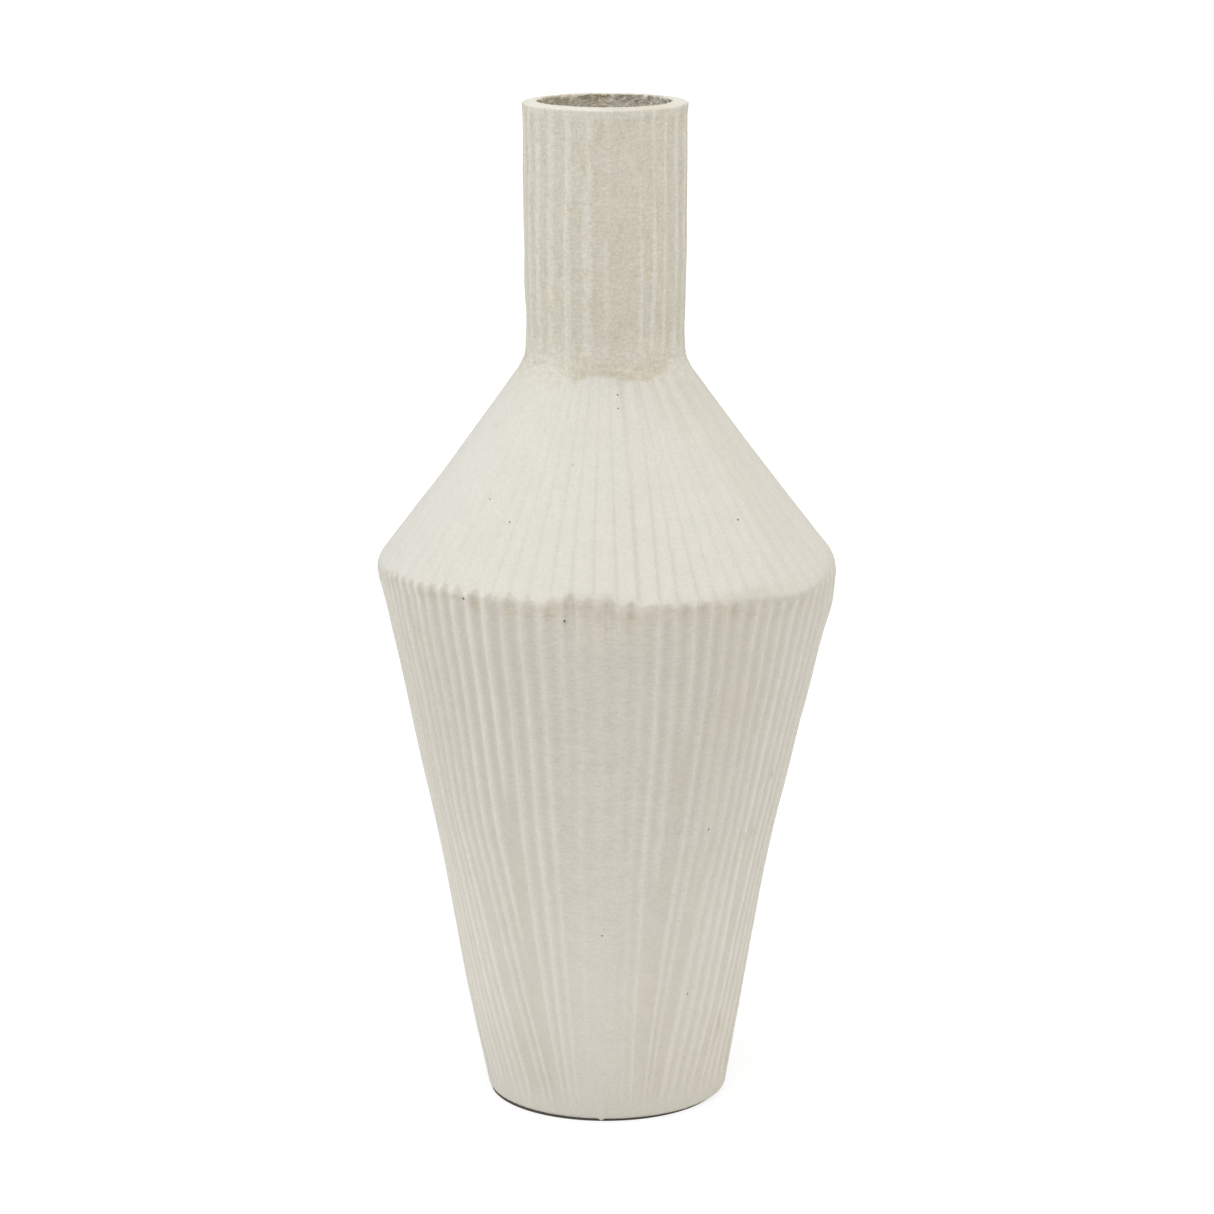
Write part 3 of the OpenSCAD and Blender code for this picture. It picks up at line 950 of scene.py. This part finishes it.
def make_raw_clay(name, stained=False):
    """The unglazed inside: grey-beige and rough, with dark specks, pale crumbs and stains."""
    recipe = Recipe(name)
    here = recipe.place()
    broad = recipe.noise(here, 7, 2, 0.5)
    crumbs = recipe.noise(here, 1.5, 3, 0.65)
    grit = recipe.noise(recipe.place((1, 1, 1.4)), 0.9, 2, 0.6)
    tone = recipe.blend(recipe.stretch(broad, 0.40, 0.60), colour(*RAW_PALE), colour(*RAW_DEEP))
    if stained:
        tone = stained_tone(recipe, here, crumbs, tone)
    tone = recipe.cover(recipe.stretch(crumbs, 0.52, 0.66, 0.0, 0.6), tone, CRUMB_TONE)
    tone = recipe.cover(recipe.stretch(grit, 0.42, 0.30, 0.0, 0.55), tone, GRIT_TONE)
    bump = recipe.bump(recipe.plus(crumbs, recipe.times(grit, 0.6)), 0.6)
    return recipe.surface(tone, recipe.stretch(crumbs, 0.3, 0.7, 0.9, 0.98), bump, specular=0.2)


def make_felt():
    """Dark felt under the foot."""
    recipe = Recipe("dark_felt")
    fibre = recipe.noise(recipe.place(), 0.35, 3, 0.7)
    tone = recipe.blend(fibre, colour(0.075, 0.068, 0.060), colour(0.13, 0.12, 0.11))
    bump = recipe.bump(fibre, 0.2, strength=0.8)
    return recipe.surface(tone, recipe.stretch(fibre, 0.2, 0.8, 0.9, 1.0), bump, specular=0.1)


def make_white(name):
    """A white floor that keeps the vase's shadow near it and runs out to plain white.

    The camera, and reflections of the floor, see it glow; other light sees plain white paint."""
    recipe = Recipe(name)
    path = recipe.add("LightPath").outputs
    seen = recipe.most(path["Is Camera Ray"], path["Is Glossy Ray"])
    seen = recipe.most(seen, path["Is Transmission Ray"])
    far = recipe.stretch(recipe.length(recipe.add("TexCoord").outputs["Object"]), 0.12, 0.5)
    paint = recipe.blend(seen, colour(0.86, 0.86, 0.86), colour(0.22, 0.22, 0.22))
    diffuse = recipe.add("BsdfDiffuse", None, Color=paint).outputs[0]
    level = recipe.times(seen, recipe.plus(recipe.times(far, 0.19), 0.81))
    glow = recipe.add("Emission", None, Color=colour(1, 1, 1), Strength=level).outputs[0]
    return recipe.finish(recipe.add("AddShader", None, i0=diffuse, i1=glow))


# ---------------------------------------------------------------- stage, light and camera

# From here on places and lengths are in metres
STAGE_HALF = 3.0
FILL_LIGHT = 0.56
# Soft boxes round the vase: place, width, watts and colour
SOFT_BOXES = {
    "top_box": ((0.0, -0.1, 1.3), 1.0, 9.2, (1, 1, 1)),
    "key_box": ((-0.2, -1.1, 0.9), 0.5, 4.4, (1, 1, 1)),
    "left_box": ((-1.2, 0.1, 0.3), 0.9, 4.5, (0.88, 0.95, 1.0)),
    "right_box": ((1.2, 0.1, 0.3), 0.9, 4.2, (1.0, 0.97, 0.92)),
}
# The camera's sensor and lens in millimetres, and its tilt down at the vase in radians
SENSOR_MM = 36.0
LENS_MM = 118.557
CAMERA_SHIFT = 0.0016
CAMERA_TILT = 0.2278
CAMERA_REACH = 1.192
AIM_Z = 149.2 * MM
CLIP_END = 20


def make_floor():
    """A wide white floor that the vase stands on."""
    x = y = STAGE_HALF
    mesh = bpy.data.meshes.new("floor")
    mesh.from_pydata([(-x, -y, 0), (x, -y, 0), (x, y, 0), (-x, y, 0)], [], [(0, 1, 2, 3)])
    mesh.materials.append(make_white("floor_white"))
    floor = bpy.data.objects.new("floor", mesh)
    bpy.context.collection.objects.link(floor)


def make_world():
    """A white world: plain fill light on the object, pure white to the camera and through glass."""
    world = bpy.data.worlds.new("studio")
    bpy.context.scene.world = world
    world.use_nodes = True
    tree = world.node_tree
    tree.nodes.clear()
    path = tree.nodes.new("ShaderNodeLightPath")
    seen = tree.nodes.new("ShaderNodeMath")
    seen.operation = "MAXIMUM"
    level = tree.nodes.new("ShaderNodeMapRange")
    level.inputs["To Min"].default_value = FILL_LIGHT
    level.inputs["To Max"].default_value = 1.0
    background = tree.nodes.new("ShaderNodeBackground")
    background.inputs["Color"].default_value = colour(1, 1, 1)
    out = tree.nodes.new("ShaderNodeOutputWorld")
    tree.links.new(path.outputs["Is Camera Ray"], seen.inputs[0])
    tree.links.new(path.outputs["Is Transmission Ray"], seen.inputs[1])
    tree.links.new(seen.outputs[0], level.inputs["Value"])
    tree.links.new(level.outputs[0], background.inputs["Strength"])
    tree.links.new(background.outputs[0], out.inputs[0])


def add_facing(thing, target):
    """Adds a lamp or camera to the scene, turned to face the target."""
    thing.rotation_euler = (target - thing.location).to_track_quat("-Z", "Y").to_euler()
    bpy.context.collection.objects.link(thing)


def make_lights():
    """Square area lights that face the middle of the vase."""
    for name, (at, size, watts, tint) in SOFT_BOXES.items():
        light = bpy.data.lights.new(name, "AREA")
        light.energy = watts
        light.size = size
        light.color = tint
        lamp = bpy.data.objects.new(name, light)
        lamp.location = at
        add_facing(lamp, Vector((0, 0, 0.5 * RIM_Z * MM)))


def make_camera():
    """A long lens that looks a little down on the vase, as the photographer's did."""
    data = bpy.data.cameras.new("camera")
    data.sensor_width = SENSOR_MM
    data.lens = LENS_MM
    data.shift_x = CAMERA_SHIFT
    data.clip_end = CLIP_END
    camera = bpy.data.objects.new("camera", data)
    aim = Vector((0, 0, AIM_Z))
    camera.location = aim + CAMERA_REACH * Vector((0, -math.cos(CAMERA_TILT), math.sin(CAMERA_TILT)))
    add_facing(camera, aim)
    bpy.context.scene.camera = camera


# ---------------------------------------------------------------- the vase


def dress(piece, node):
    """Lets a modelled piece stand for a CAD node."""
    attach(piece, "root")
    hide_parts(node)


def paint_node(node, material):
    """Gives a CAD node that keeps its own shape a finish."""
    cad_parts[node].data.materials.clear()
    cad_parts[node].data.materials.append(material)


make_camera()
make_world()
make_lights()
make_floor()
raw = make_raw_clay("raw_clay")
bore = make_raw_clay("raw_bore", stained=True)
body_clay = make_clay("body_clay", "body_wall")
cone_clay = make_clay("shoulder_clay", "shoulder")
neck_clay = make_clay("neck_clay", "neck")
dress(make_neck(neck_clay, bore), "neck")
dress(make_shoulder(cone_clay, raw), "shoulder")
dress(make_body(body_clay, raw), "body_wall")
paint_node("floor_slab", raw)
paint_node("base_pad", make_felt())

bpy.context.scene.view_settings.view_transform = "Standard"
